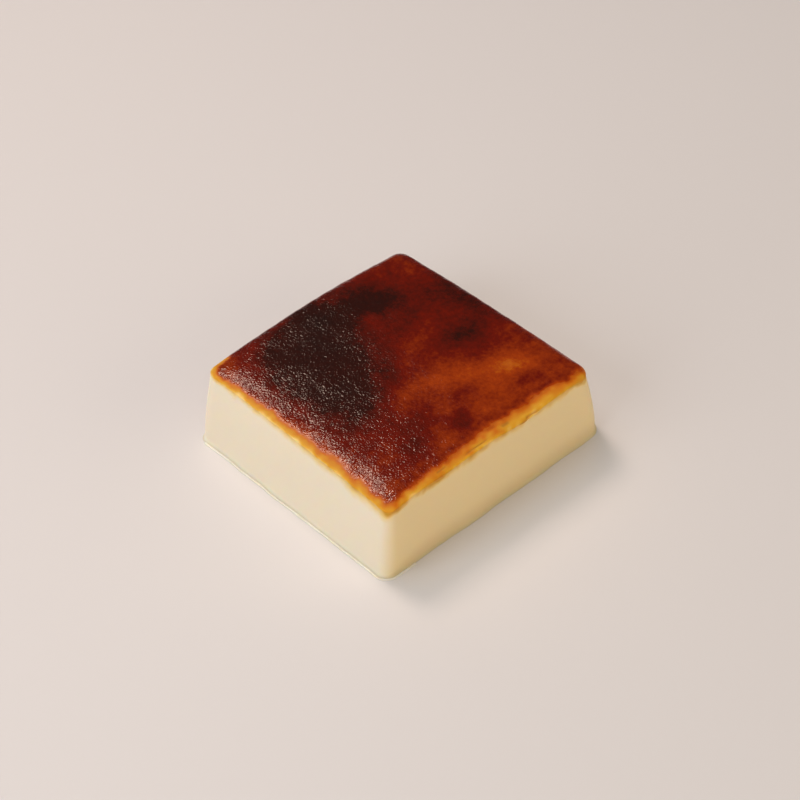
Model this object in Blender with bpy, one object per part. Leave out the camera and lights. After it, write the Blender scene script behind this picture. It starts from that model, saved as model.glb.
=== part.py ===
"""One square-cut piece of kazandibi, a milk pudding turned out with its scorched side up.

The piece stands on its cut underside at z = 0, centred over the origin. X and Y run along its
sides, and the corner at -X -Y is the one nearest to somebody who looks at it. Its scorched skin
is domed a little, rolls over all four edges and ends in a wavy lip that stands proud of the sides.
"""

import math

import bmesh
import bpy
from mathutils import Vector, noise

MM = 0.001

# Corners of the block in plan, in millimetres, before the upright edges are rounded. They go
# round the block: left, front, right and back, as seen by somebody who faces the front corner.
FOOT_CORNERS = ((-44.2, 39.2), (-43.7, -39.5), (44.3, -41.3), (42.3, 39.5))
LIP_CORNERS = ((-40.7, 37.6), (-41.1, -38.3), (38.6, -39.5), (36.0, 37.0))
UPRIGHT_EDGE_RADII = (3.6, 3.8, 5.0, 4.0)
MEAN_HALF_WIDTH = 40.0

# How far each side bulges outwards at its middle, in plan: the sides at -X, -Y, +X and +Y.
SIDE_BULGES = (0.0, 0.2, 0.4, 1.4)

# Heights in millimetres above the surface that the piece lies on.
TOP_HEIGHT = 27.1
DOME_RISE = 0.6
DOME_POWER = 2.5

# The wavy lower edge of the skin: (place, height). Places 0, 1, 2 and 3 are the corners, in the
# order above, and 0.5 is halfway along the side from the left corner to the front one.
LIP_LINE = (
    (0.00, 25.5),
    (0.25, 26.1),
    (0.50, 26.0),
    (0.77, 25.6),
    (0.90, 25.1),
    (1.00, 24.4),
    (1.14, 25.4),
    (1.25, 25.0),
    (1.42, 25.8),
    (1.52, 25.6),
    (1.60, 24.6),
    (1.72, 25.3),
    (1.90, 25.5),
    (1.99, 24.6),
    (2.30, 25.3),
    (2.70, 25.5),
    (3.00, 24.9),
    (3.40, 25.7),
    (3.75, 25.4),
)

# How far in from the lip the skin starts to roll down, on the -X side and on the others.
BROAD_ROLL = 9.0
TIGHT_ROLL = 5.0

# The lip stands proud of the side, more where the skin has lifted from the pudding.
LIP_OVERHANG = 0.15
LIFTED_OVERHANG = 0.50
LIFTED_PLACE = 1.68
LIFTED_SPREAD = 0.07

# The sides swell a little halfway up, and the foot spreads where the soft pudding settles.
BELLY = 0.6
FOOT_SPREAD = 0.6
FOOT_SPREAD_HEIGHT = 1.5

# Unevenness, each as (length, height, seed): broad swells of the skin, small lumps along its
# rolled edge, the wander of the foot's outline and the slow waves of the cut sides.
SWELL = (15.0, 0.35, 3.1)
EDGE_LUMP = (4.2, 0.22, 8.4)
FOOT_WAVE = (11.0, 0.45, 1.7)
SIDE_WAVE = (24.0, 0.35, 5.2)

# The lumps fade in between these shares of the way from the middle of the top to its rim.
LUMPS_START = 0.70
LUMPS_FULL = 0.95

# The mesh: cells across the top, how many of them each way lie on the roll, and the heights of
# the rings on the sides. A ring is a share of the lip's height.
TOP_CELLS = 38
ROLL_CELLS = 5
SIDE_RINGS = (0.982, 0.95, 0.86, 0.70, 0.50, 0.30, 0.14, 0.06, 0.025, 0.0)

PUDDING_COLOUR = (0.84, 0.73, 0.50, 1.0)
GOLDEN_COLOUR = (0.62, 0.26, 0.035, 1.0)
SKIN_COLOUR = (0.105, 0.016, 0.006, 1.0)
GOLDEN_BAND = 1.8
SHARP_ANGLE = math.radians(60.0)


def clear_scene():
    """Removes every object, so that the file can be run again."""
    for old in list(bpy.data.objects):
        bpy.data.objects.remove(old)


def smooth(x):
    """A soft step from 0 to 1."""
    x = min(max(x, 0.0), 1.0)
    return x * x * (3.0 - 2.0 * x)


def wave(plan, up, unevenness):
    """Smooth noise at a place in plan and a height, the same on each run."""
    length, height, seed = unevenness
    return height * noise.noise(Vector((plan.x, plan.y, up)) / length + Vector((0.0, 0.0, seed)))


def place_round(a, b):
    """Place round the block, from 0 to 4, of a point on the edge of the square -1 to 1."""
    if abs(a) >= abs(b):
        return (1.0 - b) / 2.0 if a < 0 else 2.0 + (1.0 + b) / 2.0
    return 1.0 + (1.0 + a) / 2.0 if b < 0 else 3.0 + (1.0 - a) / 2.0


def lip_height(place):
    """Height of the lip at a place round the block, on a smooth line through LIP_LINE."""
    ring = LIP_LINE + ((4.0, LIP_LINE[0][1]),)
    for (start, low), (end, high) in zip(ring, ring[1:]):
        if place <= end:
            return low + (high - low) * smooth((place - start) / (end - start))
    return ring[-1][1]


def corner_radius(a, b):
    """Radius of the upright edge on that side of the block, as a share of its half width."""
    corner = (0 if b > 0 else 1) if a < 0 else (3 if b > 0 else 2)
    return UPRIGHT_EDGE_RADII[corner] / MEAN_HALF_WIDTH


def rounded_square(a, b):
    """A point on the edge of the square -1 to 1, moved onto the rounded square, and the way out."""
    radius = corner_radius(a, b)
    half_run = 1.0 - radius + radius * math.pi / 4.0
    on_x = abs(a) >= abs(b)
    along = abs(b if on_x else a) * half_run
    turn = max(along - (1.0 - radius), 0.0) / radius
    major = 1.0 - radius + radius * math.cos(turn)
    minor = along if turn == 0.0 else 1.0 - radius + radius * math.sin(turn)
    x, y = (major, minor) if on_x else (minor, major)
    out_x, out_y = (math.cos(turn), math.sin(turn)) if on_x else (math.sin(turn), math.cos(turn))
    sign_x, sign_y = math.copysign(1.0, a), math.copysign(1.0, b)
    return Vector((x * sign_x, y * sign_y)), Vector((out_x * sign_x, out_y * sign_y))


def in_quad(corners, point):
    """A point of the square -1 to 1 in the bulging four-sided shape with these corners."""
    left, front, right, back = (Vector(corner) for corner in corners)
    s, t = (point.x + 1.0) / 2.0, (point.y + 1.0) / 2.0
    plan = front.lerp(right, s).lerp(left.lerp(back, s), t)
    across_x, across_y = 1.0 - point.y**2, 1.0 - point.x**2
    out_left, out_front, out_right, out_back = SIDE_BULGES
    plan.x += across_x * (out_right if point.x > 0 else out_left) * point.x
    plan.y += across_y * (out_back if point.y > 0 else out_front) * point.y
    return plan


def roll_width(a):
    """How far in from the lip the skin rolls down. It is broad on the -X side."""
    return TIGHT_ROLL + (BROAD_ROLL - TIGHT_ROLL) * max(-a, 0.0) ** 6


def lip_overhang(place):
    """How far the lip stands proud of the side."""
    lifted = math.exp(-(((place - LIFTED_PLACE) / LIFTED_SPREAD) ** 2))
    return LIP_OVERHANG + LIFTED_OVERHANG * lifted


def ring_share(step):
    """Share of the way from the middle of the top to its rim, with even steps along the roll."""
    flat = 1.0 - ROLL_CELLS * 2.0 / TOP_CELLS
    inner = 1.0 - TIGHT_ROLL / MEAN_HALF_WIDTH
    if step <= flat:
        return inner * step / flat
    return inner + (1.0 - inner) * math.sin(math.pi / 2.0 * (step - flat) / (1.0 - flat))


def top_point(u, v):
    """A point of the skin's upper face, for u and v from -1 to 1."""
    step = max(abs(u), abs(v))
    if step == 0.0:
        return Vector((*in_quad(LIP_CORNERS, Vector((0.0, 0.0))), TOP_HEIGHT + DOME_RISE))
    share = ring_share(step)
    a, b = u / step, v / step
    edge, out = rounded_square(a, b)
    place = place_round(a, b)
    plan = in_quad(LIP_CORNERS, edge * share)
    roll = roll_width(a) / MEAN_HALF_WIDTH
    over = max(1.0 - (1.0 - share) / roll, 0.0)
    depth = TOP_HEIGHT - lip_height(place)
    drop = depth * (1.0 - math.sqrt(max(1.0 - over * over, 0.0)))
    dome = DOME_RISE * (1.0 - share**DOME_POWER)
    near_edge = smooth((share - LUMPS_START) / (LUMPS_FULL - LUMPS_START))
    uneven = wave(plan, 0.0, SWELL) + wave(plan, 0.0, EDGE_LUMP) * near_edge
    plan += out * lip_overhang(place) * over**3
    return Vector((plan.x, plan.y, TOP_HEIGHT + dome - drop + uneven * (1.0 - over**4)))


def side_point(u, v, ring):
    """A point of a side, on one of SIDE_RINGS, below the rim's point at u and v."""
    edge, out = rounded_square(u, v)
    lip = lip_height(place_round(u, v))
    height = lip * SIDE_RINGS[ring]
    up = height / lip
    foot = in_quad(FOOT_CORNERS, edge)
    plan = foot.lerp(in_quad(LIP_CORNERS, edge), up)
    spread = FOOT_SPREAD * (max(1.0 - height / FOOT_SPREAD_HEIGHT, 0.0) ** 2 - (1.0 - up))
    settled = wave(foot, 0.0, FOOT_WAVE) * (1.0 - up) ** 3
    bowed = (BELLY + wave(foot, height, SIDE_WAVE)) * math.sin(math.pi * up)
    plan += out * (spread + settled + bowed)
    return Vector((plan.x, plan.y, height))


def split_towards_corner(face):
    """Splits a square of the grid along the diagonal that runs from the middle to its corner."""
    middle = face.calc_center_median()
    corners = sorted(face.verts, key=lambda corner: corner.co.x * middle.x + corner.co.y * middle.y)
    bmesh.utils.face_split(face, corners[0], corners[-1])


def unit_block():
    """A square grid with its rim drawn down ring by ring: x and y are u and v, -z counts rings."""
    mesh = bmesh.new()
    bmesh.ops.create_grid(mesh, x_segments=TOP_CELLS, y_segments=TOP_CELLS, size=1.0)
    for face in list(mesh.faces):
        split_towards_corner(face)
    rim = [edge for edge in mesh.edges if edge.is_boundary]
    for _ in SIDE_RINGS:
        made = bmesh.ops.extrude_edge_only(mesh, edges=rim)["geom"]
        lower = [part for part in made if isinstance(part, bmesh.types.BMVert)]
        bmesh.ops.translate(mesh, vec=(0.0, 0.0, -1.0), verts=lower)
        rim = [part for part in made if isinstance(part, bmesh.types.BMEdge) and part.is_boundary]
    bmesh.ops.contextual_create(mesh, geom=rim)
    return mesh


def shape_block(mesh):
    """Moves the unit block's points to their places on the pudding, in metres."""
    for vertex in mesh.verts:
        u, v, depth = vertex.co
        ring = round(-depth) - 1
        point = top_point(u, v) if ring < 0 else side_point(u, v, ring)
        vertex.co = point * MM


def centre_over_origin(mesh):
    """Moves the block so that the middle of its box is over the origin."""
    xs = [vertex.co.x for vertex in mesh.verts]
    ys = [vertex.co.y for vertex in mesh.verts]
    middle = Vector(((min(xs) + max(xs)) / 2.0, (min(ys) + max(ys)) / 2.0, 0.0))
    bmesh.ops.translate(mesh, vec=-middle, verts=mesh.verts)


def colour_block(mesh):
    """Gives each face its material: 0 is pudding, 1 the golden edge and 2 the scorched skin."""
    mesh.normal_update()
    lowest_skin = min(height for _, height in LIP_LINE)
    for face in mesh.faces:
        height = face.calc_center_median().z / MM
        if height > TOP_HEIGHT - GOLDEN_BAND and face.normal.z > 0.5:
            face.material_index = 2
        elif height > lowest_skin and face.normal.z > 0.0:
            face.material_index = 1


def principled(name, colour, roughness):
    """A plain material of one colour."""
    material = bpy.data.materials.new(name)
    material.use_nodes = True
    shader = material.node_tree.nodes["Principled BSDF"]
    shader.inputs["Base Color"].default_value = colour
    shader.inputs["Roughness"].default_value = roughness
    shader.inputs["Metallic"].default_value = 0.0
    return material


def make_kazandibi():
    """The whole piece, one solid."""
    mesh = unit_block()
    shape_block(mesh)
    centre_over_origin(mesh)
    bmesh.ops.recalc_face_normals(mesh, faces=mesh.faces)
    colour_block(mesh)
    data = bpy.data.meshes.new("kazandibi")
    mesh.to_mesh(data)
    mesh.free()
    data.shade_smooth()
    data.set_sharp_from_angle(angle=SHARP_ANGLE)
    data.materials.append(principled("milk_pudding", PUDDING_COLOUR, 0.42))
    data.materials.append(principled("golden_edge", GOLDEN_COLOUR, 0.40))
    data.materials.append(principled("scorched_skin", SKIN_COLOUR, 0.33))
    piece = bpy.data.objects.new("kazandibi", data)
    bpy.context.scene.collection.objects.link(piece)
    return piece


clear_scene()
make_kazandibi()
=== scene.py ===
"""Looks of one square-cut piece of kazandibi, a milk pudding turned out scorched side up.

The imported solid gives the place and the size. The block here repeats its form on a fine mesh, so
that the skin can have its leathery relief and the lip its raggedness, and a thin rim of pudding
lies round its foot. Sizes are in millimetres until a mesh is written, which is in metres.
"""

import logging
import math
from collections.abc import Iterable
from dataclasses import dataclass, field
from enum import Enum

import bmesh
import bpy
import numpy as np
from bpy.types import Material, Mesh, Node, NodeSocket as Socket, NodeTree, Object
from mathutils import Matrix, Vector, noise


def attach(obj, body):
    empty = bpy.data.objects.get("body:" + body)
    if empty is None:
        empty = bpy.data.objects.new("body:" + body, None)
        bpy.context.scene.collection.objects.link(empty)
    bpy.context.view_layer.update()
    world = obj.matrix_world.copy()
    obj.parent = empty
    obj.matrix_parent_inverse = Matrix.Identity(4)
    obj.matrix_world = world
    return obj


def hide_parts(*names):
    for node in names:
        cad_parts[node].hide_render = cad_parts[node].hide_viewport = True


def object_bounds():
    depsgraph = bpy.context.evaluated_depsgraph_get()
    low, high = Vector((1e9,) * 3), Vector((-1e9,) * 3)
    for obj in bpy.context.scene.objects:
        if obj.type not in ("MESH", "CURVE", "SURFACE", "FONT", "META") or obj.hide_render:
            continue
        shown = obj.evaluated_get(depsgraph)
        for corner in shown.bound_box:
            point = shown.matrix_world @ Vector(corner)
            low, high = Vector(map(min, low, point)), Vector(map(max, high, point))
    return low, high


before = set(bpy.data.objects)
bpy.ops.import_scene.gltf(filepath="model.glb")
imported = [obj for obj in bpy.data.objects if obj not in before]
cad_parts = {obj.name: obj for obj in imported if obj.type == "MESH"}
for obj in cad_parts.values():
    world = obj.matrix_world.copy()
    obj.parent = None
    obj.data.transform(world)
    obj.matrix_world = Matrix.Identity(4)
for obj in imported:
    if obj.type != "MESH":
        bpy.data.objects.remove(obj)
CAD_LOW, CAD_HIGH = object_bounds()

MM = 0.001
NODE = "kazandibi"
BODY = "root"

# Kinds of value: numbers for each point, a place in plan, a place in space, a line as pairs of
# place and value, a colour's red, green and blue, and what goes into a node's inputs.
Values = np.ndarray
Plan = tuple[float, float]
Space = tuple[float, float, float]
Line = tuple[tuple[float, float], ...]
Colour = tuple[float, float, float]
Feeds = dict[str | int, object]

# How far red, green and blue light go into the pudding, against each other.
MILK_DEPTHS: Colour = (1.0, 0.62, 0.30)

log = logging.getLogger("kazandibi")


class Attribute(Enum):
    """What the mesh stores at each point for the finish and the relief to read."""

    BROWNING = "browning"
    SKIN = "skin"
    WRINKLED = "wrinkled"
    # Painted warm shade: the sides that face away from the key light are tinted richer and warmer.
    SHADE_WARMTH = "rich"
    # Painted shade: the sides darken towards the foot, where the contact shade falls.
    FOOT_SHADE = "damp"
    # Painted shade in the creases along the lip.
    CREASE = "crease"


def smooth(x: Values | float) -> Values:
    """A soft step, 0 for 0 and less and 1 for 1 and more."""
    x = np.clip(x, 0.0, 1.0)
    return x * x * (3.0 - 2.0 * x)


def round_the_block(line: Line, place: Values) -> Values:
    """Reads a smooth closed line that goes once round the block.

    Args:
        line: Pairs of place and value, in rising order, the first at place 0.
        place: Places round the block, 0 to 4, where 0, 1, 2 and 3 are the corners.

    Returns:
        The line's values there.
    """
    places = np.array([at for at, _ in line] + [4.0])
    values = np.array([value for _, value in line] + [line[0][1]])
    run = np.clip(np.searchsorted(places, place) - 1, 0, len(line) - 1)
    share = (place - places[run]) / (places[run + 1] - places[run])
    return values[run] + (values[run + 1] - values[run]) * smooth(share)


@dataclass(frozen=True)
class Waves:
    """Smooth noise of one size."""

    length: float
    height: float
    seed: float

    def at(self, x: Values, y: Values, z: Values | float = 0.0) -> Values:
        """Reads the noise at some points.

        Args:
            x, y: First and second coordinates.
            z: Third coordinates, or one for all.

        Returns:
            The noise, from about minus the height to plus the height.
        """
        third = np.broadcast_to(z, x.shape) / self.length + self.seed
        points = zip((x / self.length).tolist(), (y / self.length).tolist(), third.tolist())
        return self.height * np.array([noise.noise(point) for point in points])


@dataclass(frozen=True)
class Crease:
    """A short crease or split along the lip.

    Each end is a place round the block and a distance below the lip. It fades in and out over
    shares of its length.
    """

    start: Plan
    end: Plan
    width: float
    depth: float
    fade_in: float = 0.2
    fade_out: float = 0.3

    def mark(self, place: Values, below: Values) -> Values:
        """How strongly each point is in the crease.

        Args:
            place: Places round the block.
            below: Distances below the lip, in millimetres, less than 0 on the skin.

        Returns:
            1 along the middle of the crease, 0 away from it.
        """
        share = (place - self.start[0]) / (self.end[0] - self.start[0])
        line = self.start[1] + (self.end[1] - self.start[1]) * share
        across = np.exp(-(((below - line) / self.width) ** 2))
        ends = smooth(share / self.fade_in) * smooth((1.0 - share) / self.fade_out)
        return across * ends


@dataclass(frozen=True)
class Patch:
    """A patch of the skin that is darker or paler than the rest, with soft edges."""

    x: float
    y: float
    radius_x: float
    radius_y: float
    change: float
    turn: float = 0.0

    def shade(self, x: Values, y: Values) -> Values:
        """What the patch adds to the scorch.

        Args:
            x, y: Places on the skin, in millimetres.

        Returns:
            The change at each place, strongest in the middle of the patch.
        """
        cos, sin = math.cos(math.radians(self.turn)), math.sin(math.radians(self.turn))
        along = ((x - self.x) * cos + (y - self.y) * sin) / self.radius_x
        across = ((y - self.y) * cos - (x - self.x) * sin) / self.radius_y
        return self.change * np.exp(-(along**2 + across**2))


@dataclass(frozen=True)
class BlockShape:
    """The rule of the block's form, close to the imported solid's, and its small raggedness.

    Corners are the left, front, right and back ones for somebody who faces the front one. Each
    side has the name of the corner before it.
    """

    foot_corners: tuple[Plan, ...] = ((-44.2, 39.2), (-43.7, -39.5), (44.3, -41.3), (42.3, 39.5))
    lip_corners: tuple[Plan, ...] = ((-40.7, 37.6), (-40.8, -38.0), (38.6, -39.5), (36.0, 37.0))
    lip_corner_radii: tuple[float, ...] = (3.0, 2.4, 4.8, 3.0)
    foot_corner_radii: tuple[float, ...] = (3.0, 3.8, 4.8, 3.0)
    mean_half_width: float = 40.0
    least_step: float = 1e-6
    side_bulges: tuple[float, ...] = (0.0, 0.2, 0.4, 1.4)
    top_height: float = 27.1
    dome_rise: float = 0.6
    dome_power: float = 2.5
    lip_line: Line = (
        (0.00, 25.5), (0.25, 26.1), (0.50, 26.0), (0.77, 25.6), (0.90, 25.1), (1.00, 24.9),
        (1.14, 26.1), (1.25, 26.0), (1.42, 26.5), (1.52, 26.4), (1.60, 25.7), (1.72, 26.2),
        (1.90, 26.2), (1.99, 25.0), (2.30, 25.3), (2.70, 25.5), (3.00, 24.9), (3.40, 25.7),
        (3.75, 25.4),
    )
    broad_roll: float = 9.0
    tight_roll: float = 5.0
    broad_roll_slant: float = 0.55
    broad_roll_power: int = 6
    lip_overhang: float = 0.15
    overhang_power: int = 3
    lifted_overhang: float = 0.50
    lifted_place: float = 1.68
    lifted_spread: float = 0.07
    belly: float = 0.6
    foot_spread: float = 0.6
    foot_spread_height: float = 1.5
    swell: Waves = Waves(15.0, 0.35, 3.1)
    edge_lump: Waves = Waves(4.2, 0.22, 8.4)
    foot_wave: Waves = Waves(11.0, 0.45, 1.7)
    side_wave: Waves = Waves(24.0, 0.35, 5.2)
    lumps_start: float = 0.70
    lumps_full: float = 0.95
    calm_lip_power: int = 4
    settled_power: int = 3

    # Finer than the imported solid: the ragged lip and the ripples of the foot.
    lip_ripple: Waves = Waves(2.6, 0.14, 12.3)
    foot_ripple: Waves = Waves(3.4, 0.12, 15.6)

    def straight_out(self, u: Values, v: Values) -> tuple[Values, Values]:
        """Where the way out through points of the square -1 to 1 meets its edge."""
        step = np.maximum(np.maximum(np.abs(u), np.abs(v)), self.least_step)
        return u / step, v / step

    def place(self, a: Values, b: Values) -> Values:
        """Place round the block, from 0 to 4.

        Args:
            a, b: The points, on the edge of the square -1 to 1.

        Returns:
            The places.
        """
        on_x = np.where(a < 0, (1.0 - b) / 2.0, 2.0 + (1.0 + b) / 2.0)
        on_y = np.where(b < 0, 1.0 + (1.0 + a) / 2.0, 3.0 + (1.0 - a) / 2.0)
        return np.where(np.abs(a) >= np.abs(b), on_x, on_y)

    def square_edge(self, place: Values) -> tuple[Values, Values]:
        """Where places round the block are on the edge of the square -1 to 1.

        Args:
            place: Places round the block, 0 to 4.

        Returns:
            The first and the second coordinates.
        """
        side, along = np.floor(place).astype(int) % 4, 2.0 * (place % 1.0) - 1.0
        one = np.ones_like(along)
        first = np.choose(side, [-one, along, one, -along])
        second = np.choose(side, [-along, -one, along, one])
        return first, second

    def edge(self, a: Values, b: Values, at_foot: bool = False) -> tuple[Values, Values]:
        """Moves points of the square's edge onto the rounded square.

        Args:
            a, b: The points, on the edge of the square -1 to 1.
            at_foot: Whether the corners are the foot's, and not the lip's.

        Returns:
            The points on the rounded square, and the way out at each.
        """
        given = self.foot_corner_radii if at_foot else self.lip_corner_radii
        left, front, right, back = np.array(given) / self.mean_half_width
        radius = np.where(a < 0, np.where(b > 0, left, front), np.where(b > 0, back, right))
        on_x = np.abs(a) >= np.abs(b)
        half_run = 1.0 - radius + radius * math.pi / 4.0
        along = np.where(on_x, np.abs(b), np.abs(a)) * half_run
        turn = np.maximum(along - (1.0 - radius), 0.0) / radius
        cos, sin = np.cos(turn), np.sin(turn)
        major = 1.0 - radius + radius * cos
        minor = np.where(turn == 0.0, along, 1.0 - radius + radius * sin)
        signs = np.stack([np.copysign(1.0, a), np.copysign(1.0, b)])
        point = np.where(on_x, np.stack([major, minor]), np.stack([minor, major]))
        out = np.where(on_x, np.stack([cos, sin]), np.stack([sin, cos]))
        return point * signs, out * signs

    def in_quad(self, corners: tuple[Plan, ...], point: Values) -> Values:
        """Places points of the square in a bulging four-sided shape.

        Args:
            corners: The shape's corners: left, front, right, back.
            point: Points of the square -1 to 1.

        Returns:
            The points in plan, in millimetres.
        """
        left, front, right, back = (np.array(corner)[:, None] for corner in corners)
        s, t = (point + 1.0) / 2.0
        plan = (front + (right - front) * s) * (1.0 - t) + (left + (back - left) * s) * t
        out_left, out_front, out_right, out_back = self.side_bulges
        x, y = point
        bulge_x = (1.0 - y**2) * np.where(x > 0, out_right, out_left) * x
        bulge_y = (1.0 - x**2) * np.where(y > 0, out_back, out_front) * y
        return plan + np.stack([bulge_x, bulge_y])

    def lip_height(self, a: Values, b: Values) -> Values:
        """Height of the lip at points of the square's edge, with its small ripples."""
        x, y = self.edge(a, b)[0] * self.mean_half_width
        return round_the_block(self.lip_line, self.place(a, b)) + self.lip_ripple.at(x, y)

    def overhang(self, place: Values) -> Values:
        """How far the lip stands proud of the side at some places round the block."""
        lifted = np.exp(-(((place - self.lifted_place) / self.lifted_spread) ** 2))
        return self.lip_overhang + self.lifted_overhang * lifted

    def top(self, u: Values, v: Values, share: Values) -> tuple[Values, Values]:
        """Points of the skin's upper face.

        Args:
            u, v: The points, on a square grid from -1 to 1.
            share: Share of the way from the middle of the top to its rim.

        Returns:
            The points, and how far each is from the lip over the skin.
        """
        a, b = self.straight_out(u, v)
        edge, out = self.edge(a, b)
        place, lip = self.place(a, b), self.lip_height(a, b)
        plan = self.in_quad(self.lip_corners, edge * share)
        broad = np.maximum(-a, 0.0) ** self.broad_roll_power
        roll = self.tight_roll + (self.broad_roll - self.tight_roll) * broad
        over = np.maximum(1.0 - (1.0 - share) * self.mean_half_width / roll, 0.0)
        slant = self.broad_roll_slant * broad
        bend = (1.0 - np.sqrt(np.maximum(1.0 - over**2, 0.0))) * (1.0 - slant) + over**2 * slant
        drop = (self.top_height - lip) * bend
        dome = self.dome_rise * (1.0 - share**self.dome_power)
        near_edge = smooth((share - self.lumps_start) / (self.lumps_full - self.lumps_start))
        uneven = self.swell.at(*plan) + self.edge_lump.at(*plan) * near_edge
        plan = plan + out * self.overhang(place) * over**self.overhang_power
        height = self.top_height + dome - drop + uneven * (1.0 - over**self.calm_lip_power)
        from_lip = np.hypot((1.0 - share) * self.mean_half_width, (height - lip) * over)
        return np.stack([*plan, height]), from_lip

    def side(self, a: Values, b: Values, up: Values, pressed: Values | float) -> Values:
        """Points of the cut sides.

        Args:
            a, b: The points, on the edge of the square -1 to 1.
            up: Share of the way from the foot to the lip.
            pressed: How far each point is pressed in, in millimetres.

        Returns:
            The points.
        """
        edge, out = self.edge(a, b)
        foot_edge, _ = self.edge(a, b, at_foot=True)
        height = self.lip_height(a, b) * up
        foot = self.in_quad(self.foot_corners, foot_edge)
        plan = foot + (self.in_quad(self.lip_corners, edge) - foot) * up
        low = np.maximum(1.0 - height / self.foot_spread_height, 0.0)
        spread = self.foot_spread * (low**2 - (1.0 - up))
        settled = self.foot_wave.at(*foot) * (1.0 - up) ** self.settled_power
        rippled = self.foot_ripple.at(*foot) * low
        bowed = (self.belly + self.side_wave.at(*foot, height)) * np.sin(math.pi * up)
        plan = plan + out * (spread + settled + rippled + bowed - pressed)
        return np.stack([*plan, height])


@dataclass(frozen=True)
class SkinPattern:
    """How far the skin is browned, place by place.

    Where the patches add up past the burnt level, the burnt share of what is over it is left out.
    """

    base: float = 0.65
    burnt: float = 0.82
    burnt_share: float = 0.6
    patches: tuple[Patch, ...] = (
        # Burnt to black over the left and back part of the skin.
        Patch(-3.0, 30.0, 9.0, 8.0, 0.28),
        Patch(-16.0, 24.0, 13.0, 12.0, 0.22),
        Patch(-24.0, 8.0, 9.0, 16.0, 0.19),
        Patch(-13.0, 3.0, 11.0, 9.0, 0.17, 20.0),
        Patch(-6.0, 16.0, 9.0, 8.0, 0.14),
        Patch(-22.0, -9.0, 8.0, 5.0, 0.08),
        Patch(7.0, 27.0, 5.0, 7.0, 0.08),
        # The dark streak towards the back corner, and the dark right edge.
        Patch(14.0, 25.0, 8.0, 8.0, 0.18),
        Patch(19.0, 16.0, 10.0, 6.0, 0.08),
        Patch(22.0, -3.0, 8.0, 7.0, 0.12, -20.0),
        Patch(34.0, 10.0, 7.0, 14.0, 0.13),
        # Paler amber along the band from the middle to the right corner.
        Patch(4.0, -12.0, 7.0, 4.0, -0.09, -10.0),
        Patch(16.0, -17.0, 9.0, 5.0, -0.09, -25.0),
        Patch(23.0, -22.0, 8.0, 5.0, -0.11, -15.0),
        Patch(3.0, -3.0, 7.0, 5.0, -0.03),
        Patch(-9.0, -10.0, 6.0, 5.0, -0.04),
        Patch(7.0, 20.0, 3.0, 4.0, -0.07, -30.0),
        Patch(28.0, 30.0, 8.0, 5.0, -0.02),
        Patch(12.0, -27.0, 26.0, 12.0, -0.08),
        Patch(-2.0, -34.0, 34.0, 4.0, -0.07),
        # Dark spots near the front edge.
        Patch(22.0, -30.0, 4.5, 2.5, 0.11),
        Patch(-2.0, -27.0, 6.0, 4.0, 0.10),
        Patch(-21.0, -28.0, 6.0, 5.0, 0.09),
        Patch(-13.0, -20.0, 6.0, 4.0, 0.09),
        Patch(5.0, -20.0, 5.0, 2.5, 0.05),
        # Orange at the left and front corners.
        Patch(-40.0, 35.0, 7.0, 5.0, -0.14),
        Patch(-40.0, -38.0, 7.0, 5.0, -0.16),
    )
    mottle: Waves = Waves(7.0, 0.06, 31.0)
    blotch: Waves = Waves(2.4, 0.04, 33.0)
    drift: Waves = Waves(9.0, 1.8, 35.0)
    drift_apart: float = 50.0

    # The browning across the lip, as pairs of the share of the way over the band and the level
    # there. The band starts at a distance from the lip, more than 0 on the skin, and has a width.
    band: Line = (
        (0.00, 0.00), (0.20, 0.06), (0.35, 0.13), (0.46, 0.20), (0.64, 0.29), (0.76, 0.42),
        (0.88, 0.55), (1.00, 0.60),
    )
    band_start: Line = (
        (0.00, -1.5), (0.30, -1.9), (0.50, -3.0), (0.80, -3.2), (1.00, -3.3), (1.15, -3.6),
        (1.40, -4.3), (1.70, -4.4), (1.92, -4.2), (2.05, -2.6), (2.50, -2.8), (3.80, -2.8),
    )
    band_width: Line = (
        (0.00, 4.2), (0.30, 5.6), (0.50, 8.0), (0.80, 7.6), (0.96, 7.6), (1.15, 8.0),
        (1.50, 10.8), (1.80, 10.8), (1.95, 8.6), (2.05, 4.2), (2.50, 3.2), (3.80, 3.2),
    )
    deepening: Line = (
        (0.00, 0.03), (0.90, 0.03), (1.05, 0.05), (1.30, 0.045), (1.85, 0.04), (2.10, 0.0),
    )
    toast: Waves = Waves(2.2, 0.07, 41.0)
    wander: Waves = Waves(5.0, 1.1, 37.0)
    fray: Waves = Waves(1.6, 0.45, 39.0)

    # The deepening is whole from a level up, and the patches take over far along the band.
    deepened_level: float = 0.2
    patches_start: float = 0.8
    patches_fade: float = 0.5

    def scorch(self, x: Values, y: Values) -> Values:
        """How far the skin is scorched, leaving the lip out of account.

        Args:
            x, y: The points in plan.

        Returns:
            0 for raw pudding to 1 for black.
        """
        warped_x = x + self.drift.at(x, y)
        warped_y = y + self.drift.at(x, y, self.drift_apart)
        total = self.base + self.mottle.at(x, y) + self.blotch.at(x, y)
        for patch in self.patches:
            total = total + patch.shade(warped_x, warped_y)
        return total - self.burnt_share * np.maximum(total - self.burnt, 0.0)

    def browning(self, x: Values, y: Values, place: Values, from_lip: Values) -> Values:
        """How brown each point is, with the gold band along the lip.

        Args:
            x, y: The points in plan.
            place: Places round the block.
            from_lip: Distances over the surface from the lip, less than 0 on the sides.

        Returns:
            0 for raw pudding, about 0.25 for gold, up to 1 for black.
        """
        ragged = from_lip + self.wander.at(x, y, from_lip) + self.fray.at(x, y, from_lip)
        start = round_the_block(self.band_start, place)
        over = (ragged - start) / round_the_block(self.band_width, place)
        shares, levels = zip(*self.band)
        level = np.interp(over, shares, levels)
        deeper = round_the_block(self.deepening, place) + self.toast.at(x, y, from_lip)
        level = level + deeper * smooth(level / self.deepened_level)
        patched = smooth((over - self.patches_start) / self.patches_fade)
        return level + (self.scorch(x, y) - level) * patched


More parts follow.
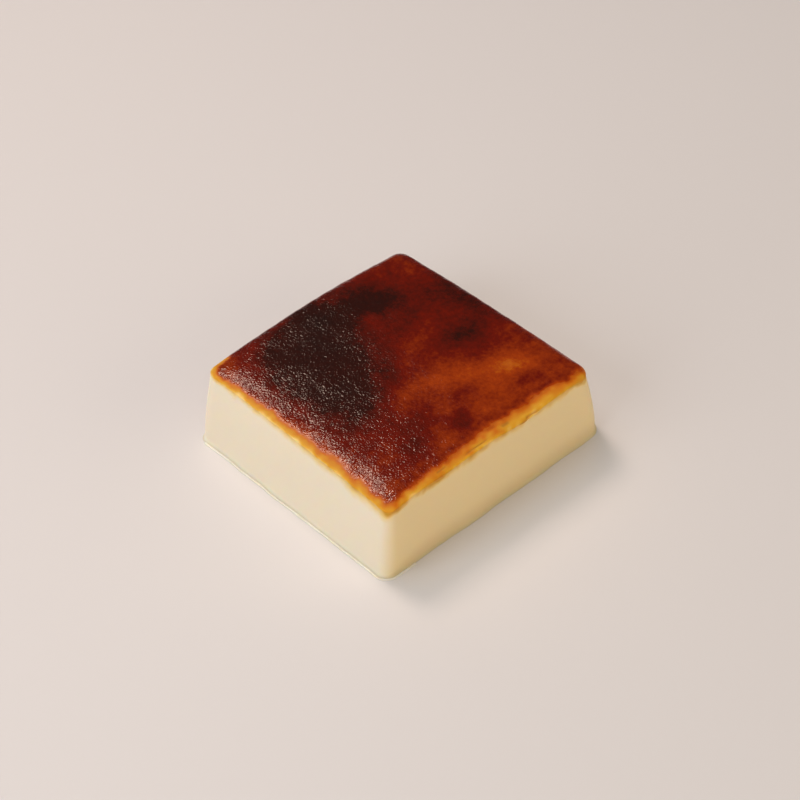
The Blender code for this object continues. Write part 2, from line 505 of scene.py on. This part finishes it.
@dataclass(frozen=True)
class ColourStop:
    """A colour, and the value from 0 to 1 that stands for it."""

    value: float
    colour: Colour


@dataclass(frozen=True)
class Pebbles:
    """How rounded and uneven the pebbles of a texture are, and their level in the middle."""

    smoothness: float
    randomness: float = 1.0
    level: float = 0.6


class Graph:
    """A node tree that is built one node at a time, for a finish or for making a shape."""

    column: int = 190
    row: int = 260
    columns: int = 8
    noise_middle: float = 0.5

    def __init__(self, tree: NodeTree) -> None:
        """Starts with the tree emptied."""
        self.tree = tree
        tree.nodes.clear()

    @classmethod
    def of_material(cls, name: str) -> tuple[Material, "Graph"]:
        """A new material, and its empty tree."""
        made = bpy.data.materials.new(name)
        made.use_nodes = True
        return made, cls(made.node_tree)

    def shade(self, feeds: Feeds) -> None:
        """Ends a material with the main shader, which takes a value or socket for each name."""
        shader = self.add("ShaderNodeBsdfPrincipled", feeds)
        self.add("ShaderNodeOutputMaterial", {"Surface": shader.outputs[0]})

    @classmethod
    def of_shape(cls, name: str, start: str, sizes: Iterable[str]) -> tuple["Graph", dict[str, Socket]]:
        """Opens a tree that makes a shape.

        Args:
            name: The tree's name.
            start: Name of the shape that goes in.
            sizes: Names of the sizes that go in.

        Returns:
            The tree's graph, and what goes in, by name.
        """
        tree = bpy.data.node_groups.new(name, "GeometryNodeTree")
        graph = cls(tree)
        tree.interface.new_socket(start, in_out="INPUT", socket_type="NodeSocketGeometry")
        for size in sizes:
            tree.interface.new_socket(size, in_out="INPUT", socket_type="NodeSocketFloat")
        tree.interface.new_socket("Shape", in_out="OUTPUT", socket_type="NodeSocketGeometry")
        given = graph.add("NodeGroupInput").outputs
        return graph, {socket.name: socket for socket in given}

    def hand_over(self, shape: Socket, material: Material) -> NodeTree:
        """Ends a tree that makes a shape.

        Args:
            shape: The shape.
            material: Its finish.

        Returns:
            The tree.
        """
        realized = self.add("GeometryNodeRealizeInstances", {0: shape}).outputs[0]
        feeds = {"Geometry": realized, "Material": material}
        self.add("NodeGroupOutput", {0: self.add("GeometryNodeSetMaterial", feeds).outputs[0]})
        return self.tree

    def add(self, kind: str, feeds: Feeds | None = None, **settings: object) -> Node:
        """Adds a node.

        Args:
            kind: The node's type.
            feeds: Value or socket for each of its inputs, by name or number.
            settings: The node's own settings.

        Returns:
            The node.
        """
        node = self.tree.nodes.new(kind)
        made = len(self.tree.nodes) - 1
        node.location = (self.column * (made % self.columns), -self.row * (made // self.columns))
        for name, value in settings.items():
            setattr(node, name, value)
        for name, value in (feeds or {}).items():
            self.feed(node.inputs[name], value)
        return node

    def feed(self, socket: Socket, value: object) -> None:
        """Gives a socket a value, or links it to another."""
        if isinstance(value, Socket):
            self.tree.links.new(value, socket)
        else:
            socket.default_value = value

    def math(self, operation: str, first: object, second: object = 0.0) -> Socket:
        """A sum of two numbers, or what else the operation names."""
        return self.add("ShaderNodeMath", {0: first, 1: second}, operation=operation).outputs[0]

    def vector(self, operation: str, first: object, second: object) -> Socket:
        """A sum of two vectors, or what else the operation names."""
        return self.add("ShaderNodeVectorMath", {0: first, 1: second}, operation=operation).outputs[0]

    def scaled(self, vector: object, factor: object) -> Socket:
        """A vector times a number."""
        feeds = {0: vector, "Scale": factor}
        return self.add("ShaderNodeVectorMath", feeds, operation="SCALE").outputs[0]

    def product(self, first: object, *others: object) -> Socket:
        """The product of some numbers."""
        for other in others:
            first = self.math("MULTIPLY", first, other)
        return first

    def rest(self, share: object) -> Socket:
        """What is left of 1 after a share."""
        return self.math("SUBTRACT", 1.0, share)

    def per(self, spacing: object) -> Socket:
        """How many there are to a metre at a spacing."""
        return self.math("DIVIDE", 1.0, spacing)

    def step(self, value: object, high: float) -> Socket:
        """A soft step from 0 at 0 to 1 at a high value."""
        feeds = {"Value": value, "From Max": high}
        return self.add("ShaderNodeMapRange", feeds, interpolation_type="SMOOTHSTEP").outputs[0]

    def noise(self, where: object, scale: object, detail: float) -> Socket:
        """Smooth noise from 0 to 1."""
        feeds = {"Vector": where, "Scale": scale, "Detail": detail}
        return self.add("ShaderNodeTexNoise", feeds).outputs[0]

    def wobble(self, where: object, scale: object, detail: float) -> Socket:
        """Smooth noise from -0.5 to 0.5."""
        return self.math("SUBTRACT", self.noise(where, scale, detail), self.noise_middle)

    def domes(self, where: Socket, per_metre: object, pebbles: Pebbles) -> Socket:
        """Builds a texture of rounded pebbles.

        Args:
            where: The coordinates.
            per_metre: How many pebbles there are to a metre.
            pebbles: Their form.

        Returns:
            The pebbles' level in the middle of each, and less away from it.
        """
        feeds = {"Vector": where, "Scale": per_metre}
        feeds |= {"Smoothness": pebbles.smoothness, "Randomness": pebbles.randomness}
        cells = self.add("ShaderNodeTexVoronoi", feeds, feature="SMOOTH_F1")
        return self.math("SUBTRACT", pebbles.level, cells.outputs["Distance"])

    def ramp(self, value: Socket, stops: tuple[ColourStop, ...]) -> Socket:
        """Builds a colour that goes through some stops.

        Args:
            value: What chooses the colour, from 0 to 1.
            stops: The stops, in rising order.

        Returns:
            The colour.
        """
        node = self.add("ShaderNodeValToRGB", {"Fac": value})
        elements = node.color_ramp.elements
        while len(elements) < len(stops):
            elements.new(1.0)
        for element, stop in zip(elements, stops):
            element.position = stop.value
            element.color = (*stop.colour, 1.0)
        return node.outputs[0]

    def mixed(self, under: Socket, over: Colour, share: Socket) -> Socket:
        """Lays a share of a colour over another."""
        node = self.add("ShaderNodeMix", {"Factor": share}, data_type="RGBA")
        colours = [socket for socket in node.inputs if socket.type == "RGBA"]
        self.feed(colours[0], under)
        self.feed(colours[1], (*over, 1.0))
        return next(socket for socket in node.outputs if socket.type == "RGBA")

    def named(self, attribute: Attribute) -> Socket:
        """One of the mesh's own values."""
        if self.tree.type == "SHADER":
            return self.add("ShaderNodeAttribute", attribute_name=attribute.value).outputs["Fac"]
        feeds = {"Name": attribute.value}
        return self.add("GeometryNodeInputNamedAttribute", feeds, data_type="FLOAT").outputs[0]


@dataclass(frozen=True)
class PuddingFinish:
    """Matt cream pudding that goes through gold and red-brown to a glossy scorched skin."""

    name: str = "milk_pudding"
    stops: tuple[ColourStop, ...] = (
        ColourStop(0.00, (0.880, 0.785, 0.620)),
        ColourStop(0.09, (0.850, 0.640, 0.270)),
        ColourStop(0.22, (0.645, 0.340, 0.024)),
        ColourStop(0.36, (0.550, 0.145, 0.004)),
        ColourStop(0.50, (0.328, 0.040, 0.002)),
        ColourStop(0.66, (0.129, 0.006, 0.001)),
        ColourStop(0.82, (0.028, 0.004, 0.002)),
        ColourStop(1.00, (0.007, 0.005, 0.004)),
    )
    # Painted shade: olive-brown darkening of the sides towards the foot.
    foot_shade_colour: Colour = (0.57, 0.39, 0.20)
    # Painted warm shade, laid over the sides that face away from the key light.
    shade_warmth_colour: Colour = (0.860, 0.700, 0.410)
    # Painted shade in the creases along the lip.
    crease_shade_colour: Colour = (0.40, 0.17, 0.02)
    pudding_roughness: float = 0.60
    skin_roughness: float = 0.20
    subsurface: float = 0.55
    subsurface_scale: float = 2.6 * MM
    mottle_per_metre: float = 900.0
    mottle_detail: float = 4.0
    mottle_share: float = 0.17
    pebble_per_metre: float = 1150.0
    pebble_height: float = 0.05 * MM
    pebbles: Pebbles = Pebbles(0.5)
    grain_per_metre: float = 1900.0
    grain_detail: float = 0.5
    grain_height: float = 0.14 * MM
    pore_per_metre: float = 500.0
    pore_detail: float = 3.0
    pore_height: float = 0.012 * MM

    def colour(self, graph: Graph, where: Socket) -> Socket:
        """Builds the colour.

        Args:
            graph: The material's nodes.
            where: Object coordinates.

        Returns:
            The colour's socket.
        """
        skin = graph.named(Attribute.SKIN)
        mottle = graph.wobble(where, self.mottle_per_metre, self.mottle_detail)
        mottle = graph.product(mottle, skin, self.mottle_share)
        browned = graph.ramp(graph.math("ADD", graph.named(Attribute.BROWNING), mottle), self.stops)
        # Painted warm shade on the shaded sides, left off the skin.
        rich = graph.product(graph.named(Attribute.SHADE_WARMTH), graph.rest(skin))
        side = graph.mixed(browned, self.shade_warmth_colour, rich)
        # Painted shade near the foot.
        damp = graph.mixed(side, self.foot_shade_colour, graph.named(Attribute.FOOT_SHADE))
        # Painted shade in the creases.
        return graph.mixed(damp, self.crease_shade_colour, graph.named(Attribute.CREASE))

    def relief(self, graph: Graph, where: Socket) -> Socket:
        """Builds the fine relief that is too small for the mesh.

        Args:
            graph: The material's nodes.
            where: Object coordinates.

        Returns:
            The normal's socket.
        """
        skin = graph.named(Attribute.SKIN)
        grain = graph.noise(where, self.grain_per_metre, self.grain_detail)
        grain = graph.product(grain, self.grain_height)
        domes = graph.domes(where, self.pebble_per_metre, self.pebbles)
        rough = graph.math("ADD", grain, graph.product(domes, self.pebble_height))
        rough = graph.product(rough, graph.named(Attribute.WRINKLED), skin)
        pores = graph.noise(where, self.pore_per_metre, self.pore_detail)
        pores = graph.product(pores, graph.rest(skin), self.pore_height)
        feeds = {"Height": graph.math("ADD", rough, pores), "Distance": 1.0, "Strength": 1.0}
        return graph.add("ShaderNodeBump", feeds).outputs[0]

    def material(self) -> Material:
        """Builds the material, with its colour, gloss and fine relief."""
        made, graph = Graph.of_material(self.name)
        where = graph.add("ShaderNodeTexCoord").outputs["Object"]
        skin = graph.named(Attribute.SKIN)
        feeds = {"Value": skin, "To Min": self.pudding_roughness, "To Max": self.skin_roughness}
        gloss = graph.add("ShaderNodeMapRange", feeds)
        graph.shade({
            "Base Color": self.colour(graph, where),
            "Roughness": gloss.outputs[0],
            "Subsurface Weight": graph.product(graph.rest(skin), self.subsurface),
            "Subsurface Radius": MILK_DEPTHS,
            "Subsurface Scale": self.subsurface_scale,
            "Normal": self.relief(graph, where),
        })
        return made


@dataclass(frozen=True)
class SkinRelief:
    """Geometry Nodes that raise the pebbles and wrinkles of the skin."""

    pebble_spacing: float = 1.05 * MM
    pebble_height: float = 0.09 * MM
    pebbles: Pebbles = Pebbles(0.35, 0.9)
    warp_per_metre: float = 700.0
    warp_detail: float = 1.0
    warp_spread: float = 0.8 * MM
    wrinkle_spacing: float = 1.8 * MM
    wrinkle_height: float = 0.08 * MM
    wrinkle_level: float = 0.1
    wrinkle_detail: float = 2.0
    lump_spacing: float = 5.0 * MM
    lump_height: float = 0.35 * MM
    lump_detail: float = 1.0

    def tree(self, material: Material) -> NodeTree:
        """Builds the nodes.

        Args:
            material: The finish that the block ends up with.

        Returns:
            The node tree, with its sizes as named inputs.
        """
        graph, given = Graph.of_shape("skin_relief", "Block", self.sizes())
        where = graph.add("GeometryNodeInputPosition").outputs[0]
        skin = graph.named(Attribute.SKIN)
        wrinkled = graph.named(Attribute.WRINKLED)

        feeds = {"Vector": where, "Scale": self.warp_per_metre, "Detail": self.warp_detail}
        warp = graph.add("ShaderNodeTexNoise", feeds).outputs["Color"]
        warp = graph.vector("SUBTRACT", warp, [graph.noise_middle] * 3)
        warped = graph.vector("ADD", where, graph.scaled(warp, self.warp_spread))
        domes = graph.domes(warped, graph.per(given["Pebble spacing"]), self.pebbles)
        pebbles = graph.product(domes, given["Pebble height"], wrinkled)
        folds = graph.wobble(warped, graph.per(given["Wrinkle spacing"]), self.wrinkle_detail)
        ridges = graph.math("SUBTRACT", self.wrinkle_level, graph.math("ABSOLUTE", folds))
        wrinkles = graph.product(ridges, given["Wrinkle height"], wrinkled)
        lumps = graph.wobble(where, graph.per(given["Lump spacing"]), self.lump_detail)
        lumps = graph.product(lumps, given["Lump height"])

        height = graph.math("ADD", graph.math("ADD", pebbles, wrinkles), lumps)
        normal = graph.add("GeometryNodeInputNormal").outputs[0]
        offset = graph.scaled(normal, graph.product(height, skin))
        feeds = {"Geometry": given["Block"], "Offset": offset}
        return graph.hand_over(graph.add("GeometryNodeSetPosition", feeds).outputs[0], material)

    def sizes(self) -> dict[str, float]:
        """The value of each of the tree's inputs, by name."""
        return {
            "Pebble spacing": self.pebble_spacing,
            "Pebble height": self.pebble_height,
            "Wrinkle spacing": self.wrinkle_spacing,
            "Wrinkle height": self.wrinkle_height,
            "Lump spacing": self.lump_spacing,
            "Lump height": self.lump_height,
        }


def in_scene(name: str, data: bpy.types.ID) -> Object:
    """Makes an object of some data and puts it in the scene."""
    made = bpy.data.objects.new(name, data)
    bpy.context.scene.collection.objects.link(made)
    return made


def shaped_by_nodes(start: Mesh, tree: NodeTree, sizes: dict[str, float], name: str) -> Object:
    """Runs Geometry Nodes on a mesh and keeps the result as a plain mesh.

    Args:
        start: The mesh to start from.
        tree: The node tree.
        sizes: Value of each of the tree's inputs, by name.
        name: The finished piece's name.

    Returns:
        The finished piece, with no modifier, at the origin.
    """
    maker = in_scene(name + "_maker", start)
    modifier = maker.modifiers.new("shape", "NODES")
    modifier.node_group = tree
    for item in tree.interface.items_tree:
        if item.item_type == "SOCKET" and item.in_out == "INPUT" and item.name in sizes:
            modifier[item.identifier] = sizes[item.name]
    graph = bpy.context.evaluated_depsgraph_get()
    mesh = bpy.data.meshes.new_from_object(maker.evaluated_get(graph), depsgraph=graph)
    mesh.name = name
    bpy.data.objects.remove(maker)
    return in_scene(name, mesh)


@dataclass
class MilkPudding:
    """The block of pudding with its scorched skin, as one closed mesh."""

    shape: BlockShape = BlockShape()
    pattern: SkinPattern = SkinPattern()
    relief: SkinRelief = SkinRelief()
    finish: PuddingFinish = PuddingFinish()
    creases: tuple[Crease, ...] = (
        Crease((1.22, -1.5), (1.28, -1.7), 0.22, 0.12),
        Crease((1.355, -1.1), (1.495, -1.3), 0.24, 0.20),
        Crease((1.56, -2.0), (1.61, -2.2), 0.45, 0.10),
        Crease((1.615, 0.4), (1.685, -0.6), 0.30, 0.35),
        Crease((1.660, -0.7), (1.740, -0.2), 0.24, 0.25),
    )
    top_cells: int = 240
    roll_cells: int = 18
    lip_rings: int = 10
    lip_ring_height: float = 0.4
    middle_rings: int = 12
    foot_rings: int = 8
    foot_ring_height: float = 0.28
    # How strongly the painted shade covers the creases.
    crease_shade_share: float = 0.75
    mean_lip_drop: float = 2.0

    # The skin starts just under the lip, where the browning is strong enough. Its wrinkles are
    # deepest near -X, and shallowest past a slanting line.
    skin_start: float = -0.4
    skin_fade: float = 1.6
    skin_browning: float = 0.32
    skin_browning_fade: float = 0.2
    least_wrinkled: float = 0.35
    more_wrinkled: float = 0.75
    wrinkles_end: float = 18.0
    wrinkles_slant: float = 0.3
    wrinkles_fade: float = 34.0
    # Painted warm shade round the block: full on the side from the front to the right corner, less on
    # the back sides, none on the lit left side, and fading out where the pudding browns.
    shade_warmth_browning: float = 0.15
    shade_warmth_share: Line = (
        (0.00, 0.0), (0.97, 0.0), (1.04, 1.0), (2.00, 1.0), (2.10, 0.7), (3.00, 0.5),
        (3.80, 0.3),
    )
    # Painted shade near the foot: its share and its height round the block, tallest on the shaded side
    # from the front to the right corner.
    foot_shade_share: Line = (
        (0.00, 0.45), (0.98, 0.45), (1.10, 0.32), (2.00, 0.32), (3.00, 0.50),
    )
    foot_shade_height: Line = (
        (0.00, 0.9), (0.98, 0.9), (1.15, 8.5), (1.90, 8.5), (2.10, 5.0), (3.00, 2.0),
    )
    smooth_angle: float = math.radians(50.0)
    shift: Values = field(init=False)

    def ring_heights(self) -> Values:
        """Heights of the side's rings as shares of the lip's height, close at the lip and foot."""
        whole = self.shape.top_height - self.mean_lip_drop
        below_lip = 1.0 - np.arange(1, self.lip_rings + 1) * self.lip_ring_height / whole
        above_foot = np.arange(self.foot_rings, 0, -1) * self.foot_ring_height / whole
        middle = np.linspace(below_lip[-1], above_foot[0], self.middle_rings + 2)[1:-1]
        return np.concatenate([below_lip, middle, above_foot, [0.0]])

    def unit_block(self) -> tuple[bmesh.types.BMesh, Values]:
        """A square grid with its rim drawn down ring by ring.

        Returns:
            The mesh, and its points: u, v and minus the number of rings down.
        """
        mesh = bmesh.new()
        cells = self.top_cells
        bmesh.ops.create_grid(mesh, x_segments=cells, y_segments=cells, size=1.0)
        rim = [edge for edge in mesh.edges if edge.is_boundary]
        for _ in self.ring_heights():
            made = bmesh.ops.extrude_edge_only(mesh, edges=rim)["geom"]
            lower = [part for part in made if isinstance(part, bmesh.types.BMVert)]
            bmesh.ops.translate(mesh, vec=(0.0, 0.0, -1.0), verts=lower)
            rim = [part for part in made if isinstance(part, bmesh.types.BMEdge) and part.is_boundary]
        bmesh.ops.contextual_create(mesh, geom=rim)
        return mesh, np.array([vertex.co for vertex in mesh.verts])

    def ring_share(self, step: Values) -> Values:
        """Share of the way from the middle of the top to its rim, in even steps along the roll.

        Args:
            step: Share of the grid's half width, 0 to 1.

        Returns:
            The share of the way in plan.
        """
        flat = 1.0 - self.roll_cells * 2.0 / self.top_cells
        inner = 1.0 - self.shape.tight_roll / self.shape.mean_half_width
        on_roll = np.sin(math.pi / 2.0 * np.clip((step - flat) / (1.0 - flat), 0.0, 1.0))
        return np.where(step <= flat, inner * step / flat, inner + (1.0 - inner) * on_roll)

    def values(self, points: Values, place: Values, from_lip: Values) -> dict[Attribute, Values]:
        """What the mesh stores at each point, apart from the creases.

        Args:
            points: The points, in millimetres.
            place: Their places round the block.
            from_lip: Their distances over the surface from the lip, less than 0 on the sides.

        Returns:
            The value at each point, by attribute.
        """
        x, y, z = points
        browning = self.pattern.browning(x, y, place, from_lip)
        browned = smooth((browning - self.skin_browning) / self.skin_browning_fade)
        wrinkled = smooth((self.wrinkles_end - x + self.wrinkles_slant * y) / self.wrinkles_fade)
        # Where the pudding is still pale, the shaded sides get painted warm shade.
        pale = 1.0 - smooth(browning / self.shade_warmth_browning)
        # The sides darken towards the foot with painted shade.
        low = smooth(1.0 - z / round_the_block(self.foot_shade_height, place))
        return {
            Attribute.BROWNING: browning,
            Attribute.SKIN: smooth((from_lip - self.skin_start) / self.skin_fade) * browned,
            Attribute.WRINKLED: self.least_wrinkled + self.more_wrinkled * wrinkled,
            Attribute.SHADE_WARMTH: round_the_block(self.shade_warmth_share, place) * pale,
            Attribute.FOOT_SHADE: round_the_block(self.foot_shade_share, place) * low,
        }

    def mesh(self) -> Mesh:
        """Builds the block.

        Returns:
            The mesh in metres, with the values that the relief and the finish read.
        """
        block, unit = self.unit_block()
        u, v, ring = unit[:, 0], unit[:, 1], np.round(-unit[:, 2]).astype(int) - 1
        a, b = self.shape.straight_out(u, v)
        place = self.shape.place(a, b)
        on_top = ring < 0
        heights = self.ring_heights()
        up = np.where(on_top, 1.0, heights[np.maximum(ring, 0)])
        share = self.ring_share(np.maximum(np.abs(u), np.abs(v)))
        top, from_lip = self.shape.top(u, v, share)
        below = np.where(on_top, -from_lip, self.shape.lip_height(a, b) * (1.0 - up))
        crease = np.minimum(sum(fold.mark(place, below) for fold in self.creases), 1.0)
        pressed = sum(fold.mark(place, below) * fold.depth for fold in self.creases)
        side = self.shape.side(a, b, up, pressed)
        top[2] -= pressed
        points = np.where(on_top, top, side)
        values = self.values(points, place, -below)
        # No painted shade of the foot on the top.
        values[Attribute.FOOT_SHADE][on_top] = 0.0
        # The creases get painted shade.
        values[Attribute.CREASE] = crease * self.crease_shade_share
        for vertex, co in zip(block.verts, points.T):
            vertex.co = co
        bmesh.ops.recalc_face_normals(block, faces=block.faces)
        data = bpy.data.meshes.new("kazandibi_block")
        block.to_mesh(data)
        block.free()
        self.centre(data)
        for attribute, value in values.items():
            stored = data.attributes.new(attribute.value, "FLOAT", "POINT")
            stored.data.foreach_set("value", value.astype(np.float32))
        data.shade_smooth()
        return data

    def centre(self, data: Mesh) -> None:
        """Puts the block over the origin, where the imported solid's box is, in metres."""
        co = np.empty(len(data.vertices) * 3)
        data.vertices.foreach_get("co", co)
        co = co.reshape(-1, 3) * MM
        middle = (co.min(axis=0) + co.max(axis=0)) / 2.0
        wanted = (np.array(CAD_LOW) + np.array(CAD_HIGH)) / 2.0
        self.shift = (wanted - middle)[:2]
        co[:, :2] += self.shift
        data.vertices.foreach_set("co", co.ravel())
        data.update()

    def build(self) -> Object:
        """Makes the finished piece.

        Returns:
            The piece, riding on the body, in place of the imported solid.
        """
        tree = self.relief.tree(self.finish.material())
        piece = shaped_by_nodes(self.mesh(), tree, self.relief.sizes(), NODE + "_pudding")
        piece.data.set_sharp_from_angle(angle=self.smooth_angle)
        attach(piece, BODY)
        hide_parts(NODE)
        return piece


@dataclass(frozen=True)
class FilmFinish:
    """Pale, moist pudding in a thin rim round the foot."""

    name: str = "foot_film"
    stops: tuple[ColourStop, ...] = (
        ColourStop(0.3, (0.80, 0.72, 0.58)),
        ColourStop(0.6, (0.88, 0.82, 0.72)),
    )
    patches_per_metre: float = 260.0
    patches_detail: float = 3.0
    roughness: float = 0.35
    subsurface: float = 0.4
    subsurface_scale: float = 1.0 * MM

    def material(self) -> Material:
        """Builds the material."""
        made, graph = Graph.of_material(self.name)
        where = graph.add("ShaderNodeTexCoord").outputs["Object"]
        patches = graph.noise(where, self.patches_per_metre, self.patches_detail)
        graph.shade({
            "Base Color": graph.ramp(patches, self.stops),
            "Roughness": self.roughness,
            "Subsurface Weight": self.subsurface,
            "Subsurface Radius": MILK_DEPTHS,
            "Subsurface Scale": self.subsurface_scale,
        })
        return made


@dataclass
class FootFilm:
    """The thin uneven rim of pudding that has run out round the foot, swept along its outline."""

    shape: BlockShape
    shift: Values
    first_place: float = 0.03
    last_place: float = 1.12
    steps: int = 420
    half_width: float = 0.40 * MM
    flatness: float = 0.6
    out: float = 0.15
    ripple_per_metre: float = 330.0
    ripple_detail: float = 2.0
    ripple_share: float = 0.9
    start_taper: float = 0.12
    end_taper: float = 0.24
    least_share: float = 0.02
    sides: int = 12
    finish: FilmFinish = FilmFinish()

    def path(self) -> Mesh:
        """Makes the line that the film follows, just outside the foot.

        Returns:
            A mesh of edges in metres.
        """
        place = np.linspace(self.first_place, self.last_place, self.steps) % 4.0
        a, b = self.shape.square_edge(place)
        line = self.shape.side(a, b, np.zeros_like(a), -self.out) * MM
        line[:2] += self.shift[:, None]
        data = bpy.data.meshes.new("foot_film_path")
        edges = [(step, step + 1) for step in range(self.steps - 1)]
        data.from_pydata(line.T.tolist(), edges, [])
        return data

    def tree(self) -> NodeTree:
        """Builds the nodes that sweep the film along its path.

        Returns:
            The node tree, with its sizes as named inputs.
        """
        graph, given = Graph.of_shape("foot_film", "Path", self.sizes())
        curve = graph.add("GeometryNodeMeshToCurve", {0: given["Path"]}).outputs[0]
        along = graph.add("GeometryNodeSplineParameter").outputs["Factor"]
        rise = graph.step(along, self.start_taper)
        fall = graph.step(graph.rest(along), self.end_taper)
        where = graph.add("GeometryNodeInputPosition").outputs[0]
        ripple = graph.wobble(where, given["Ripples per metre"], self.ripple_detail)
        ripple = graph.math("ADD", graph.product(ripple, given["Ripple share"]), 1.0)
        wide = graph.product(ripple, graph.product(rise, fall))
        wide = graph.math("MAXIMUM", wide, self.least_share)
        curve = graph.add("GeometryNodeSetCurveRadius", {"Curve": curve, "Radius": wide}).outputs[0]
        feeds = {"Resolution": self.sides, "Radius": given["Half width"]}
        ring = graph.add("GeometryNodeCurvePrimitiveCircle", feeds).outputs[0]
        feeds = {"Curve": curve, "Profile Curve": ring, "Fill Caps": True}
        tube = graph.add("GeometryNodeCurveToMesh", feeds).outputs[0]
        x, y, z = graph.add("ShaderNodeSeparateXYZ", {0: where}).outputs
        z = graph.product(graph.math("MAXIMUM", z, 0.0), given["Flatness"])
        flat = graph.add("ShaderNodeCombineXYZ", {0: x, 1: y, 2: z}).outputs[0]
        film = graph.add("GeometryNodeSetPosition", {"Geometry": tube, "Position": flat}).outputs[0]
        return graph.hand_over(film, self.finish.material())

    def sizes(self) -> dict[str, float]:
        """The value of each of the tree's inputs, by name."""
        return {
            "Half width": self.half_width,
            "Flatness": self.flatness,
            "Ripples per metre": self.ripple_per_metre,
            "Ripple share": self.ripple_share,
        }

    def build(self) -> Object:
        """Makes the finished piece.

        Returns:
            The film, riding on the body.
        """
        piece = shaped_by_nodes(self.path(), self.tree(), self.sizes(), "foot_film")
        piece.data.shade_smooth()
        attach(piece, BODY)
        return piece


@dataclass(frozen=True)
class FloorFinish:
    """Plain pale matt floor."""

    name: str = "pale_floor"
    colour: Colour = (0.685, 0.67, 0.685)
    roughness: float = 0.6

    def material(self) -> Material:
        """Builds the material."""
        made, graph = Graph.of_material(self.name)
        graph.shade({"Base Color": (*self.colour, 1.0), "Roughness": self.roughness})
        return made


@dataclass(frozen=True)
class Softbox:
    """A square area light that points at the piece, and is seen in gloss only where it says so."""

    name: str
    direction: Space
    distance: float
    width: float
    power: float
    colour: Colour = (1.0, 1.0, 1.0)
    in_gloss: bool = False

    def build(self, aim: Vector) -> None:
        """Makes the light.

        Args:
            aim: The point that it faces, in metres.
        """
        data = bpy.data.lights.new(self.name, "AREA")
        data.size = self.width
        data.energy = self.power
        data.color = self.colour
        light = in_scene(self.name, data)
        way = Vector(self.direction).normalized()
        light.location = aim + way * self.distance
        light.rotation_euler = way.to_track_quat("Z", "Y").to_euler()
        light.visible_glossy = self.in_gloss


@dataclass
class Studio:
    """Plain pale floor, soft light and the photograph's camera."""

    floor_width: float = 6.0
    floor_drop: float = 0.03 * MM
    aim: Space = (9.16 * MM, 9.53 * MM, 0.0)
    azimuth: float = math.radians(-43.92)
    elevation: float = math.radians(45.0)
    distance: float = 0.6593
    lens: float = 99.0
    sensor: float = 36.0
    boxes: tuple[Softbox, ...] = (
        Softbox("left_window", (-0.85, 0.05, 0.45), 1.0, 0.7, 4.5),
        Softbox("back_window", (0.0, 0.51, 0.86), 1.0, 0.28, 3.7, (1.0, 0.77, 0.62), True),
        Softbox("overhead", (-0.11, 0.24, 0.96), 2.0, 1.35, 14.4),
        Softbox("front_fill", (-0.45, -0.75, 0.75), 2.2, 1.7, 10.0, (1.0, 0.85, 0.63)),
        Softbox("right_fill", (0.35, -0.90, 0.30), 1.0, 0.8, 3.5, (1.0, 0.83, 0.60)),
    )
    world_colour: Colour = (1.0, 1.0, 1.0)
    world_strength: float = 0.05

    def build_floor(self) -> None:
        """Makes the floor just under the piece."""
        mesh = bmesh.new()
        bmesh.ops.create_grid(mesh, x_segments=1, y_segments=1, size=self.floor_width / 2.0)
        bmesh.ops.translate(mesh, vec=(0.0, 0.0, -self.floor_drop), verts=mesh.verts)
        data = bpy.data.meshes.new("floor")
        mesh.to_mesh(data)
        mesh.free()
        data.materials.append(FloorFinish().material())
        floor = in_scene("floor", data)

    def build_world(self) -> None:
        """Gives the scene its even light from all round."""
        world = bpy.data.worlds.new("studio")
        bpy.context.scene.world = world
        world.use_nodes = True
        graph = Graph(world.node_tree)
        feeds = {"Color": (*self.world_colour, 1.0), "Strength": self.world_strength}
        light = graph.add("ShaderNodeBackground", feeds)
        graph.add("ShaderNodeOutputWorld", {"Surface": light.outputs[0]})

    def build_camera(self) -> None:
        """Makes the camera at the photograph's angle."""
        flat = math.cos(self.elevation)
        x, y = math.sin(self.azimuth) * flat, -math.cos(self.azimuth) * flat
        back = Vector((x, y, math.sin(self.elevation)))
        data = bpy.data.cameras.new("camera")
        data.lens = self.lens
        data.sensor_width = self.sensor
        camera = in_scene("camera", data)
        camera.location = Vector(self.aim) + back * self.distance
        camera.rotation_euler = back.to_track_quat("Z", "Y").to_euler()
        bpy.context.scene.camera = camera

    def build(self) -> None:
        """Makes the floor, the lights and the camera."""
        self.build_floor()
        self.build_world()
        for box in self.boxes:
            box.build(Vector(self.aim))
        self.build_camera()
        bpy.context.scene.view_settings.view_transform = "Standard"


def main() -> None:
    """Builds the piece and the studio, in order."""
    logging.basicConfig(level=logging.INFO, format="%(message)s")
    Studio().build()
    log.info("studio: floor, lights and camera")
    pudding = MilkPudding()
    block = pudding.build()
    log.info("%s: %d faces", block.name, len(block.data.polygons))
    film = FootFilm(pudding.shape, pudding.shift).build()
    log.info("%s: %d faces", film.name, len(film.data.polygons))


if __name__ == "__main__":
    main()
